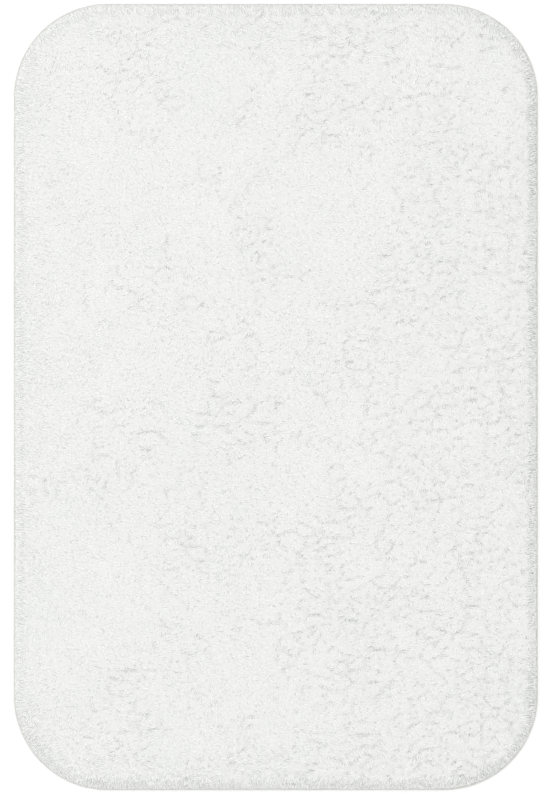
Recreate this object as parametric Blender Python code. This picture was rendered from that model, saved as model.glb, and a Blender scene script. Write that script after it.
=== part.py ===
"""A tufted bath mat with rounded corners, in metres, +Z up, its studs standing on z = 0.

The mat is a stack of thin layers. From the floor up: rubber studs under a rubber film, a backing
cloth, a coat of latex, the woven cloth that carries the tufts, and the pile. A tape is folded
round the edge of the stack and held by a lockstitch, and the pile leans out over the tape.
"""

import math

import bmesh
import bpy
from mathutils import Matrix

# The mat's plan
LENGTH = 0.750
WIDTH = LENGTH * 2 / 3
CORNER_RADIUS = 0.18 * WIDTH
CORNER_STEPS = 9

# The layers' heights, and the gap that touching pieces keep
THICKNESS = 0.020
STUD_HEIGHT = 0.0020
FILM = 0.0008
BACKING_CLOTH = 0.0008
LATEX = 0.0006
TUFTED_CLOTH = 0.0006
GAP = 0.0003

# The edge: a folded tape, and the pile that leans out over it
TAPE = 0.0008
TAPE_REACH = 0.012
TAPE_ROUND = 0.0004
PILE_SETBACK = 0.0020
PILE_ROOT_GAP = 0.0010
PILE_LIP = 0.0010
PILE_SHOULDER = 0.0090
SHOULDER_STEPS = 5
SEAM_INSET = 0.008
THREAD = 0.0005

# The grip studs, in staggered rows
STUD_PITCH = 0.050
STUD_RADIUS = 0.0060
STUD_TAPER = 0.0010
STUD_SIDES = 6
STUD_MARGIN = 0.022

# The label under the mat, at the middle of one short edge
LABEL_WIDTH = 0.050
LABEL_LENGTH = 0.030
LABEL_THICKNESS = 0.00035
LABEL_INSET = 0.018
LABEL_CLEARANCE = 0.004
LABEL_SEAM_WIDTH = 0.046
LABEL_SEAM_INSET = 0.0015

# Colours
WHITE = (0.86, 0.87, 0.86)
TAPE_WHITE = (0.80, 0.79, 0.75)
CREAM = (0.74, 0.71, 0.64)
LATEX_CREAM = (0.78, 0.75, 0.68)
RUBBER_GREY = (0.70, 0.69, 0.66)

# Heights worked out from the stack, each the bottom of its layer
FILM_Z = STUD_HEIGHT
CLOTH_Z = FILM_Z + FILM + GAP
LATEX_Z = CLOTH_Z + BACKING_CLOTH + GAP
TUFTED_Z = LATEX_Z + LATEX + GAP
TAPE_TOP_Z = TUFTED_Z + TUFTED_CLOTH + GAP
NEEDLE_Z = TAPE_TOP_Z + TAPE + GAP
PILE_LIP_Z = NEEDLE_Z + THREAD + GAP
BOBBIN_Z = FILM_Z - GAP - THREAD
LABEL_Z = FILM_Z - GAP - LABEL_THICKNESS
LABEL_SEAM_Z = LABEL_Z - GAP - THREAD

# Plan insets worked out from the edge
STACK_INSET = TAPE + GAP
FILM_INSET = TAPE_REACH + GAP
PILE_ROOT_INSET = TAPE_REACH + PILE_ROOT_GAP


def clear_scene():
    """Removes every object that is already there."""
    for obj in list(bpy.data.objects):
        bpy.data.objects.remove(obj, do_unlink=True)


def finish(name, colour, roughness):
    """A Principled BSDF material of one colour, for one sub-part."""
    material = bpy.data.materials.new(name)
    material.use_nodes = True
    shader = material.node_tree.nodes["Principled BSDF"]
    shader.inputs["Base Color"].default_value = (*colour, 1.0)
    shader.inputs["Roughness"].default_value = roughness
    shader.inputs["Metallic"].default_value = 0.0
    return material


def place(name, mesh, material):
    """Puts a finished bmesh into the scene as one named object."""
    bmesh.ops.recalc_face_normals(mesh, faces=mesh.faces)
    data = bpy.data.meshes.new(name)
    mesh.to_mesh(data)
    mesh.free()
    data.materials.append(material)
    obj = bpy.data.objects.new(name, data)
    bpy.context.scene.collection.objects.link(obj)
    return obj


def outline(inset):
    """The points of the mat's rounded outline, moved inwards by an inset."""
    radius = CORNER_RADIUS - inset
    corner_x = WIDTH / 2 - CORNER_RADIUS
    corner_y = LENGTH / 2 - CORNER_RADIUS
    corners = ((corner_x, corner_y), (-corner_x, corner_y), (-corner_x, -corner_y), (corner_x, -corner_y))
    points = []
    for quarter, (x, y) in enumerate(corners):
        for step in range(CORNER_STEPS + 1):
            angle = math.radians(90) * (quarter + step / CORNER_STEPS)
            points.append((x + radius * math.cos(angle), y + radius * math.sin(angle)))
    return points


def add_loop(mesh, inset, z):
    """The corners of one closed loop on the outline, at one height."""
    return [mesh.verts.new((x, y, z)) for x, y in outline(inset)]


def join_loops(mesh, first, second):
    """A band of faces from one loop to the next, corner to corner."""
    for corner in range(len(first)):
        mesh.faces.new((first[corner - 1], first[corner], second[corner], second[corner - 1]))


def slab(section):
    """A closed layer. Its edge runs through (inset, z) pairs, from its bottom face to its top face."""
    mesh = bmesh.new()
    loops = [add_loop(mesh, inset, z) for inset, z in section]
    for lower, upper in zip(loops, loops[1:]):
        join_loops(mesh, lower, upper)
    mesh.faces.new(loops[0])
    mesh.faces.new(loops[-1])
    return mesh


def rim(section):
    """A closed ring that follows the outline. Its cross-section is a closed chain of (inset, z) pairs."""
    mesh = bmesh.new()
    loops = [add_loop(mesh, inset, z) for inset, z in section]
    for first, second in zip(loops, loops[1:] + loops[:1]):
        join_loops(mesh, first, second)
    return mesh


def layer(inset, z, thickness):
    """A plain flat layer with an upright edge."""
    return slab([(inset, z), (inset, z + thickness)])


def thread_ring(z):
    """A thread of square section that follows the seam."""
    near = SEAM_INSET - THREAD / 2
    far = SEAM_INSET + THREAD / 2
    return rim([(near, z), (far, z), (far, z + THREAD), (near, z + THREAD)])


def cuboid(width, length, height, centre):
    """A plain box on a centre."""
    mesh = bmesh.new()
    bmesh.ops.create_cube(mesh, size=1.0)
    bmesh.ops.scale(mesh, vec=(width, length, height), verts=mesh.verts)
    bmesh.ops.translate(mesh, vec=centre, verts=mesh.verts)
    return mesh


def label_y():
    """The middle of the label, along the mat."""
    return -LENGTH / 2 + LABEL_INSET + LABEL_LENGTH / 2


def under_label(x, y):
    """Whether a stud here would press on the label."""
    reach = STUD_RADIUS + LABEL_CLEARANCE
    across = abs(x) < LABEL_WIDTH / 2 + reach
    along = abs(y - label_y()) < LABEL_LENGTH / 2 + reach
    return across and along


def inside_margin(x, y):
    """Whether a stud here stands clear of the hem, also round the corners."""
    over_x = abs(x) - (WIDTH / 2 - CORNER_RADIUS)
    over_y = abs(y) - (LENGTH / 2 - CORNER_RADIUS)
    edge = math.hypot(max(over_x, 0.0), max(over_y, 0.0)) + min(max(over_x, over_y), 0.0)
    return edge < CORNER_RADIUS - STUD_MARGIN


def stud_places():
    """The centres of the studs: rows half a pitch apart, each second row moved by half a pitch."""
    places = []
    rows = int(LENGTH / STUD_PITCH)
    columns = int(WIDTH / STUD_PITCH)
    for row in range(-rows, rows + 1):
        shift = 0.5 * (row % 2)
        for column in range(-columns, columns + 1):
            x = (column + shift) * STUD_PITCH
            y = row * STUD_PITCH / 2
            if inside_margin(x, y) and not under_label(x, y):
                places.append((x, y))
    return places


def shoulder():
    """The rounded shoulder of the pile: (inset, z) pairs on a quarter of a circle, ending at the top."""
    section = []
    for step in range(SHOULDER_STEPS + 1):
        angle = math.radians(90) * step / SHOULDER_STEPS
        inset = PILE_SETBACK + PILE_SHOULDER * (1 - math.cos(angle))
        section.append((inset, THICKNESS - PILE_SHOULDER * (1 - math.sin(angle))))
    return section


def pile(material):
    """The soft pile: rooted inside the tape, leaning out over it, with a rounded shoulder."""
    section = [
        (PILE_ROOT_INSET, TAPE_TOP_Z),
        (PILE_ROOT_INSET, PILE_LIP_Z),
        (PILE_SETBACK + PILE_LIP, PILE_LIP_Z),
        (PILE_SETBACK, PILE_LIP_Z + PILE_LIP),
    ]
    return place("pile", slab(section + shoulder()), material)


def edge_binding(material):
    """The tape folded round the edge of the stack, above and below it."""
    top = TAPE_TOP_Z + TAPE
    section = [
        (TAPE_REACH, FILM_Z),
        (TAPE_ROUND, FILM_Z),
        (0.0, FILM_Z + TAPE_ROUND),
        (0.0, top - TAPE_ROUND),
        (TAPE_ROUND, top),
        (TAPE_REACH, top),
        (TAPE_REACH, TAPE_TOP_Z),
        (TAPE, TAPE_TOP_Z),
        (TAPE, FILM_Z + TAPE),
        (TAPE_REACH, FILM_Z + TAPE),
    ]
    return place("edge_binding", rim(section), material)


def studs():
    """All the studs as one helper: each tapers down to its flat foot and starts inside the film."""
    mesh = bmesh.new()
    depth = STUD_HEIGHT + FILM / 2
    for x, y in stud_places():
        bmesh.ops.create_cone(
            mesh,
            cap_ends=True,
            segments=STUD_SIDES,
            radius1=STUD_RADIUS - STUD_TAPER,
            radius2=STUD_RADIUS,
            depth=depth,
            matrix=Matrix.Translation((x, y, depth / 2)),
        )
    return mesh


def grip_coating(material):
    """The rubber film with its studs, joined into one body."""
    film = place("grip_coating", layer(FILM_INSET, FILM_Z, FILM), material)
    helper = place("grip_studs", studs(), material)
    helper.hide_render = True
    helper.display_type = "WIRE"
    join = film.modifiers.new("Studs", "BOOLEAN")
    join.operation = "UNION"
    join.solver = "EXACT"
    join.object = helper
    return film


def care_label(material):
    """The flat label under the mat."""
    centre = (0.0, label_y(), LABEL_Z + LABEL_THICKNESS / 2)
    return place("care_label", cuboid(LABEL_WIDTH, LABEL_LENGTH, LABEL_THICKNESS, centre), material)


def label_thread(material):
    """The row of stitches across the label's outer end."""
    seam_y = -LENGTH / 2 + LABEL_INSET + LABEL_SEAM_INSET
    centre = (0.0, seam_y, LABEL_SEAM_Z + THREAD / 2)
    return place("label_thread", cuboid(LABEL_SEAM_WIDTH, THREAD, THREAD, centre), material)


def build():
    """Makes every piece, from the floor up."""
    clear_scene()
    grip_coating(finish("grip_rubber", RUBBER_GREY, 0.55))
    cloth = finish("backing_cloth", CREAM, 0.90)
    place("secondary_backing", layer(STACK_INSET, CLOTH_Z, BACKING_CLOTH), cloth)
    place("latex_layer", layer(STACK_INSET, LATEX_Z, LATEX), finish("latex", LATEX_CREAM, 0.70))
    scrim = finish("tufted_cloth", CREAM, 0.90)
    place("primary_backing", layer(STACK_INSET, TUFTED_Z, TUFTED_CLOTH), scrim)
    edge_binding(finish("binding_tape", TAPE_WHITE, 0.85))
    place("needle_thread", thread_ring(NEEDLE_Z), finish("upper_thread", WHITE, 0.60))
    place("bobbin_thread", thread_ring(BOBBIN_Z), finish("lower_thread", WHITE, 0.60))
    care_label(finish("label_satin", WHITE, 0.45))
    label_thread(finish("label_stitches", WHITE, 0.60))
    pile(finish("pile_yarn", WHITE, 0.95))


build()
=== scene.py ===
"""A deep-pile bath mat: soft tufts over a padded core, a stitched edge tape and a studded rubber back."""

import logging
import math
from dataclasses import dataclass
from enum import Enum

import bmesh
import bpy
import numpy as np
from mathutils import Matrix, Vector

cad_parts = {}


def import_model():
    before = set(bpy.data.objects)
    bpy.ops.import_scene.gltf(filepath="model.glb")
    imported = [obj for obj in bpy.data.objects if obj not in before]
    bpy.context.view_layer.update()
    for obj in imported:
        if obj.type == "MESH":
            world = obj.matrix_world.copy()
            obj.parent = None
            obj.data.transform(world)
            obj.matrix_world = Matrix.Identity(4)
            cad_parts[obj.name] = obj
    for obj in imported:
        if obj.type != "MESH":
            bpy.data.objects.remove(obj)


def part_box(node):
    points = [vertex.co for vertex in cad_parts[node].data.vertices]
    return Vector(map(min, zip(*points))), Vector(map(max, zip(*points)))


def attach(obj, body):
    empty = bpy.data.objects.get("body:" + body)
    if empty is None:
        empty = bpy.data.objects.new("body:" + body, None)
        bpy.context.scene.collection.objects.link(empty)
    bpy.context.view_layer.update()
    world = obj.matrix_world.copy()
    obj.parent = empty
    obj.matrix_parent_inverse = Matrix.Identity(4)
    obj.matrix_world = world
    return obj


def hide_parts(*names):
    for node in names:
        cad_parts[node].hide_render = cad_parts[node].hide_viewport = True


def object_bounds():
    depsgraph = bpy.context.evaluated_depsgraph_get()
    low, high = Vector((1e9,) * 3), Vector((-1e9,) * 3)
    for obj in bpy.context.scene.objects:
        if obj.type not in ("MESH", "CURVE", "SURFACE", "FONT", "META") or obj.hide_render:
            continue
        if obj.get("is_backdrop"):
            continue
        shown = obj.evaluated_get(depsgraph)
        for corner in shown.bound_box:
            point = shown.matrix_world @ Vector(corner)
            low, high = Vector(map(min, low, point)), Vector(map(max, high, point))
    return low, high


LOG = logging.getLogger("bath_mat")
BODY = "root"
MM = 0.001
WELD = 0.01 * MM
TINY = 1e-9
BAKE_MAP = "OFBake"
THREAD_MAP = "thread"
WEAVE_MAP = "weave"
WHITE = (1.0, 1.0, 1.0)
Colour = tuple[float, float, float]
Profile = tuple[tuple[float, float], ...]

# The pile's driving dimensions; the mat's size comes from the frame, and each class holds its own sizes.
CORNER_SHARE = 0.18
PILE_SETBACK = 1.9 * MM
PILE_SHOULDER = 9.0 * MM
PILE_LIFT = 0.3 * MM
CORE_FOOT_INSET = 13 * MM
TUFT_CLEARANCE = 0.2 * MM


class Side(Enum):
    """Which side of the mat a piece lies on."""

    TOP = 1
    BOTTOM = -1


@dataclass(frozen=True)
class MatPlan:
    """The mat's rounded plan, centred on the origin.

    Attributes:
        width: Size along X.
        length: Size along Y.
        radius: Radius of the four corners.
    """

    width: float
    length: float
    radius: float

    def halves(self) -> np.ndarray:
        """The corner centres' distances from the middle, along X and Y."""
        return np.array([self.width, self.length]) / 2 - self.radius

    def inset(self, points: np.ndarray) -> np.ndarray:
        """How far each point lies inside the edge.

        Args:
            points: Plan positions, one row each.

        Returns:
            The distance of each point from the edge, negative outside it.
        """
        over = np.abs(points) - self.halves()
        beyond = np.linalg.norm(np.maximum(over, 0.0), axis=1)
        return self.radius - beyond - np.minimum(over.max(axis=1), 0.0)

    def outward(self, points: np.ndarray) -> np.ndarray:
        """The direction from each point towards the nearest edge.

        Args:
            points: Plan positions, one row each.

        Returns:
            One unit vector for each point.
        """
        over = np.abs(points) - self.halves()
        side = np.where(points < 0, -1.0, 1.0)
        square = np.zeros_like(points)
        square[np.arange(len(points)), over.argmax(axis=1)] = 1.0
        in_corner = (over > 0).all(axis=1)
        return side * np.where(in_corner[:, None], unit(over), square)

    def travel(self, points: np.ndarray) -> np.ndarray:
        """How far round the outline each point lies.

        Args:
            points: Plan positions, one row each.

        Returns:
            Distances from the lower end of the right-hand side, anticlockwise.
        """
        half_x, half_y = self.halves()
        centre = np.clip(points, (-half_x, -half_y), (half_x, half_y))
        arm = points - centre
        hair = 1e-4
        turn = (np.arctan2(arm[:, 1], arm[:, 0]) + hair) % math.tau - hair
        x, y = centre.T
        straight = np.select(
            [turn < quarter * math.pi / 2 - hair for quarter in (1, 2, 3)],
            [half_y + y, 2 * half_y + half_x - x, 3 * half_y + 2 * half_x - y],
            4 * half_y + 3 * half_x + x,
        )
        return straight + self.radius * turn

    def perimeter(self, inset: float) -> float:
        """The length of the outline at an inset."""
        return float(4 * self.halves().sum() + math.tau * (self.radius - inset))

    def stations(self, inset: float, pitch: float) -> tuple[np.ndarray, np.ndarray]:
        """Evenly spaced places along the outline.

        Args:
            inset: How far inside the edge the line runs.
            pitch: About how far apart the places are.

        Returns:
            The places, and the direction of travel at each, as rows.
        """
        total = self.perimeter(inset)
        count = round(total / pitch)
        distance = (np.arange(count) + 0.5) * total / count
        radius = self.radius - inset
        half_x, half_y = self.halves()
        places, ways = np.zeros((count, 2)), np.zeros((count, 2))
        start = 0.0
        for quarter in range(4):
            reach_x, reach_y = (half_x, half_y) if quarter % 2 == 0 else (half_y, half_x)
            cos, sin = math.cos(quarter * math.pi / 2), math.sin(quarter * math.pi / 2)
            turn = np.array([[cos, sin], [-sin, cos]])
            stretch = 2 * reach_y + radius * math.pi / 2
            along = distance - start
            angle = np.clip((along - 2 * reach_y) / radius, 0.0, math.pi / 2)
            x = reach_x + radius * np.cos(angle)
            y = np.minimum(along, 2 * reach_y) - reach_y + radius * np.sin(angle)
            way = np.stack([-np.sin(angle), np.cos(angle)], axis=1)
            here = (along >= 0) & (along < stretch)
            places[here] = (np.stack([x, y], axis=1) @ turn)[here]
            ways[here] = (way @ turn)[here]
            start += stretch
        return places, ways

    def sweep(self, mesh: bmesh.types.BMesh, section: list, step: float, turns: int) -> None:
        """Carries a section round the whole outline and closes it.

        Args:
            mesh: The bmesh that holds the section.
            section: Its vertices and edges, at the lower end of the right-hand side.
            step: About how far apart the rings are on the straight sides.
            turns: How many rings each corner has.
        """
        half_x, half_y = self.halves()
        corners = ((half_x, half_y), (-half_x, half_y), (-half_x, -half_y), (half_x, -half_y))
        ways = ((0, 1), (-1, 0), (0, -1), (1, 0))
        last = section
        for (x, y), (way_x, way_y) in zip(corners, ways):
            run = 2 * (half_y if way_y else half_x)
            rings = max(round(run / step), 1)
            move = Vector((way_x, way_y, 0)) * (run / rings)
            last = bmesh.ops.spin(
                mesh, geom=last, cent=(0, 0, 0), axis=(0, 0, 1), dvec=move, angle=0.0, steps=rings
            )["geom_last"]
            last = bmesh.ops.spin(
                mesh, geom=last, cent=(x, y, 0), axis=(0, 0, 1), angle=math.pi / 2, steps=turns
            )["geom_last"]
        bmesh.ops.remove_doubles(mesh, verts=mesh.verts, dist=WELD)

    def slab(self, inset: float, low: float, high: float, turns: int) -> bmesh.types.BMesh:
        """A flat layer of the mat's plan.

        Args:
            inset: How far inside the edge the layer ends.
            low: Its lower face's height.
            high: Its upper face's height.
            turns: How many steps each corner has.

        Returns:
            A new bmesh, closed.
        """
        mesh = bmesh.new()
        half_x, half_y = self.halves()
        first = mesh.verts.new((half_x + self.radius - inset, -half_y, low))
        self.sweep(mesh, [first], self.length, turns)
        face = bmesh.ops.contextual_create(mesh, geom=mesh.edges[:])["faces"]
        raised = bmesh.ops.extrude_face_region(mesh, geom=face, use_keep_orig=True)["geom"]
        lifted = [part for part in raised if isinstance(part, bmesh.types.BMVert)]
        bmesh.ops.translate(mesh, vec=(0, 0, high - low), verts=lifted)
        bmesh.ops.recalc_face_normals(mesh, faces=mesh.faces)
        return mesh

    def layer(self, inset: float, low: float, high: float, softening: float) -> bmesh.types.BMesh:
        """A thin flat layer of the mat's plan, with softened rims.

        Args:
            inset: How far inside the edge the layer ends.
            low: Its lower face's height.
            high: Its upper face's height.
            softening: How far its rims are rounded off.

        Returns:
            A new bmesh, closed.
        """
        mesh = self.slab(inset, low, high, 16)
        rims = [edge for edge in mesh.edges if abs(edge.verts[0].co.z - edge.verts[1].co.z) < WELD / 10]
        bmesh.ops.bevel(
            mesh, geom=rims, offset=softening, affect="EDGES", segments=2, profile=0.5, material=-1
        )
        return mesh


@dataclass(frozen=True)
class Drift:
    """Smooth random values from -1 to 1 over the plan.

    Attributes:
        pitch: The distance over which the values change.
        seed: Which values.
    """

    pitch: float
    seed: int

    def at(self, points: np.ndarray) -> np.ndarray:
        """The values at some plan positions.

        Args:
            points: Plan positions, one row each.

        Returns:
            One value for each point.
        """
        size = 97
        lattice = np.random.default_rng(self.seed).uniform(-1, 1, (size, size))
        cell = points / self.pitch + size / 2
        low = np.floor(cell).astype(int)
        share_x, share_y = smooth(0.0, 1.0, cell - low).T
        near_x, near_y = (low % size).T
        far_x, far_y = ((low + 1) % size).T
        left = lattice[near_x, near_y] * (1 - share_y) + lattice[near_x, far_y] * share_y
        right = lattice[far_x, near_y] * (1 - share_y) + lattice[far_x, far_y] * share_y
        return left * (1 - share_x) + right * share_x


@dataclass(frozen=True)
class Locks:
    """The locks that tufts gather in: cells of a jittered grid, with wandering borders.

    Attributes:
        across: A lock's size along X.
        along: A lock's size along Y.
        wander: How far the borders wander.
        seed: Which jitter.
    """

    across: float
    along: float
    wander: float
    seed: int

    def at(self, points: np.ndarray) -> tuple[np.ndarray, np.ndarray, np.ndarray]:
        """The lock that each point belongs to.

        Args:
            points: Plan positions, one row each.

        Returns:
            How far each point is from the next lock (0 on the border, in lock sizes), the way
            towards its own lock's middle, and a random number from -1 to 1 for each lock.
        """
        size = 256
        random = np.random.default_rng(self.seed)
        jitter = random.uniform(0.05, 0.95, (size, size, 2))
        marks = random.uniform(-1, 1, (size, size))
        pitch = np.array([self.across, self.along])
        bend = np.stack([Drift(pitch.mean() * 0.9, self.seed + part).at(points) for part in (1, 2)], axis=1)
        cell = (points + self.wander * bend) / pitch + size / 2
        base = np.floor(cell).astype(int)
        nearest = np.full(len(points), np.inf)
        second = np.full(len(points), np.inf)
        middle = np.zeros((len(points), 2))
        mark = np.zeros(len(points))
        for step_x in (-1, 0, 1):
            for step_y in (-1, 0, 1):
                at = (base + (step_x, step_y)) % size
                centre = base + (step_x, step_y) + jitter[at[:, 0], at[:, 1]]
                gap = np.linalg.norm(centre - cell, axis=1)
                closer = gap < nearest
                second = np.where(closer, nearest, np.minimum(second, gap))
                nearest = np.where(closer, gap, nearest)
                middle[closer] = centre[closer]
                mark[closer] = marks[at[:, 0], at[:, 1]][closer]
        return second - nearest, unit((middle - cell) * pitch), mark


def smooth(low: float, high: float, values: np.ndarray) -> np.ndarray:
    """Values eased from 0 at low to 1 at high."""
    part = np.clip((values - low) / (high - low), 0.0, 1.0)
    return part * part * (3 - 2 * part)


def unit(vectors: np.ndarray, least: float = TINY) -> np.ndarray:
    """Vectors brought to length 1, where one under the least length is only divided by that."""
    return vectors / np.maximum(np.linalg.norm(vectors, axis=-1, keepdims=True), least)


@dataclass(frozen=True)
class PileForm:
    """The outer form of the pile: a flat top, a round shoulder and a short upright side.

    Attributes:
        plan: The mat's plan.
        setback: How far inside the edge the side stands.
        shoulder: The shoulder's radius.
        lip: The height of the side's lower end.
        top: The height of the top.
    """

    plan: MatPlan
    setback: float
    shoulder: float
    lip: float
    top: float

    def spare(self) -> float:
        """How much longer the section is than its plan."""
        return self.top - self.lip - self.shoulder + (math.pi / 2 - 1) * self.shoulder - self.setback

    def depth(self, places: np.ndarray) -> tuple[np.ndarray, np.ndarray]:
        """How far some places lie under the form.

        Args:
            places: Places above the side's lower end, one row each.

        Returns:
            The depth of each place, and the way straight out to the form.
        """
        level = np.maximum(self.setback + self.shoulder - self.plan.inset(places[:, :2]), 0.0)
        up = np.maximum(places[:, 2] - (self.top - self.shoulder), 0.0)
        far = np.maximum(np.hypot(level, up), TINY)
        way = np.column_stack([self.plan.outward(places[:, :2]) * (level / far)[:, None], up / far])
        return self.shoulder - far, way

    def lay_on(self, points: np.ndarray) -> tuple[np.ndarray, np.ndarray, np.ndarray, np.ndarray]:
        """Carries points of the unrolled plan onto the form.

        Args:
            points: Positions on a plan that reaches past the edge by spare().

        Returns:
            The places on the form, the outward normals, the way down the side, and the distance
            from the lower end of the side, along the section.
        """
        inset = self.plan.inset(points)
        out = self.plan.outward(points)
        run = inset + self.spare()
        side = self.top - self.lip - self.shoulder
        tilt = np.clip(math.pi / 2 - (run - side) / self.shoulder, 0.0, math.pi / 2)
        rise = np.minimum(run, side) + self.shoulder * np.cos(tilt)
        real = self.setback + self.shoulder * (1 - np.sin(tilt))
        real = np.where(tilt <= 0, inset, real)
        plan = points + out * (inset - real)[:, None]
        up = np.cos(tilt)
        level = np.sin(tilt)
        places = np.column_stack([plan, self.lip + rise])
        normals = np.column_stack([out * level[:, None], up])
        down = np.column_stack([out * up[:, None], -level])
        return places, normals, down, run


@dataclass(frozen=True)
class PileLie:
    """How the pile lies: its locks, its uneven top and the way that it leans.

    Attributes:
        form: The pile's outer form.
        locks: The big locks.
        crease_width: The width of the creases between them, in lock sizes.
        small_locks: The small locks, which are everywhere.
        crease: The depth of the big creases.
        small_crease: The depth of the small ones.
        swell: The height of the broad unevenness.
        loose: How far in from the open edges the pile stands loosely.
        loose_way: The side that the open edges face: the right, and the lower end a little.
        calm: How strongly the pile is creased at its left edge.
        fuller: How much stronger its creases are at its right edge.
        patchy: How much that changes from patch to patch.
        sweep: The direction in which most of the pile leans.
    """

    form: PileForm
    locks: Locks = Locks(22 * MM, 12 * MM, 4.5 * MM, 5)
    crease_width: float = 0.24
    small_locks: Locks = Locks(9.5 * MM, 5.0 * MM, 2.0 * MM, 9)
    crease: float = 0.95 * MM
    small_crease: float = 0.3 * MM
    swell: float = 0.2 * MM
    loose: float = 13 * MM
    loose_way: tuple[float, float] = (1.0, -0.45)
    calm: float = 0.25
    fuller: float = 0.8
    patchy: float = 0.36
    sweep: float = math.radians(190)

    def strength(self, points: np.ndarray) -> np.ndarray:
        """How strongly the pile is creased: calm near the left edge, fuller to the right.

        Args:
            points: Plan positions, one row each.

        Returns:
            One strength for each point.
        """
        across = points[:, 0] / self.form.plan.width + 0.5
        patch = Drift(60 * MM, 21).at(points) + 0.5 * Drift(25 * MM, 22).at(points)
        return np.clip(self.calm + self.fuller * across + self.patchy * patch, 0.1, 1.3)

    def open_edge(self, points: np.ndarray) -> np.ndarray:
        """How loosely the pile stands: loosest along its right and lower edges.

        Args:
            points: Plan positions, one row each.

        Returns:
            One value from 0 to 1 for each point.
        """
        facing = np.clip(self.form.plan.outward(points) @ np.array(self.loose_way), 0.0, 1.0)
        width = self.loose * (1 + 0.5 * Drift(12 * MM, 24).at(points))
        facing = facing * (0.6 + 0.4 * Drift(45 * MM, 25).at(points))
        return facing * (1 - smooth(0.15, 1.0, self.form.plan.inset(points) / width))

    def parting(self, points: np.ndarray) -> tuple[np.ndarray, np.ndarray]:
        """How open the big creases are, and which way leads out of them.

        Args:
            points: Plan positions, one row each.

        Returns:
            One value from 0 to 1 for each point, and one unit vector for each point.
        """
        edge, inwards, _ = self.locks.at(points)
        chance = 0.7 * Drift(16 * MM, 23).at(points) + 1.5 * (self.strength(points) - 0.65)
        return (1 - smooth(0.02, self.crease_width, edge)) * smooth(-0.3, 0.3, chance), inwards

    def relief(self, points: np.ndarray) -> np.ndarray:
        """The pile's height above or below its form.

        Args:
            points: Plan positions, one row each.

        Returns:
            One height for each point.
        """
        open_by, _ = self.parting(points)
        _, _, mark = self.locks.at(points)
        edge, _, small_mark = self.small_locks.at(points)
        strength = self.strength(points)
        small_depth = self.small_crease * strength * (1 + self.open_edge(points))
        small = small_depth * (smooth(0.0, 0.45, edge) - 0.8 + 0.3 * small_mark)
        broad = Drift(30 * MM, 31).at(points) + 0.8 * Drift(95 * MM, 32).at(points) + 0.5 * strength * mark
        return small - self.crease * open_by + self.swell * broad

    def lean(self, points: np.ndarray) -> np.ndarray:
        """The way that the pile leans away from the edges: in broad sweeps, and out of its creases.

        Args:
            points: Plan positions, one row each.

        Returns:
            One vector for each point, of no fixed length.
        """
        open_by, inwards = self.parting(points)
        edge, small_inwards, _ = self.small_locks.at(points)
        turn = self.sweep + 1.3 * Drift(90 * MM, 41).at(points) + Drift(28 * MM, 42).at(points)
        broad = np.stack([np.cos(turn), np.sin(turn)], axis=1)
        small = (1 - smooth(0.0, 0.6, edge)) * self.strength(points)
        return broad + 2.0 * open_by[:, None] * inwards + 1.1 * small[:, None] * small_inwards


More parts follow.
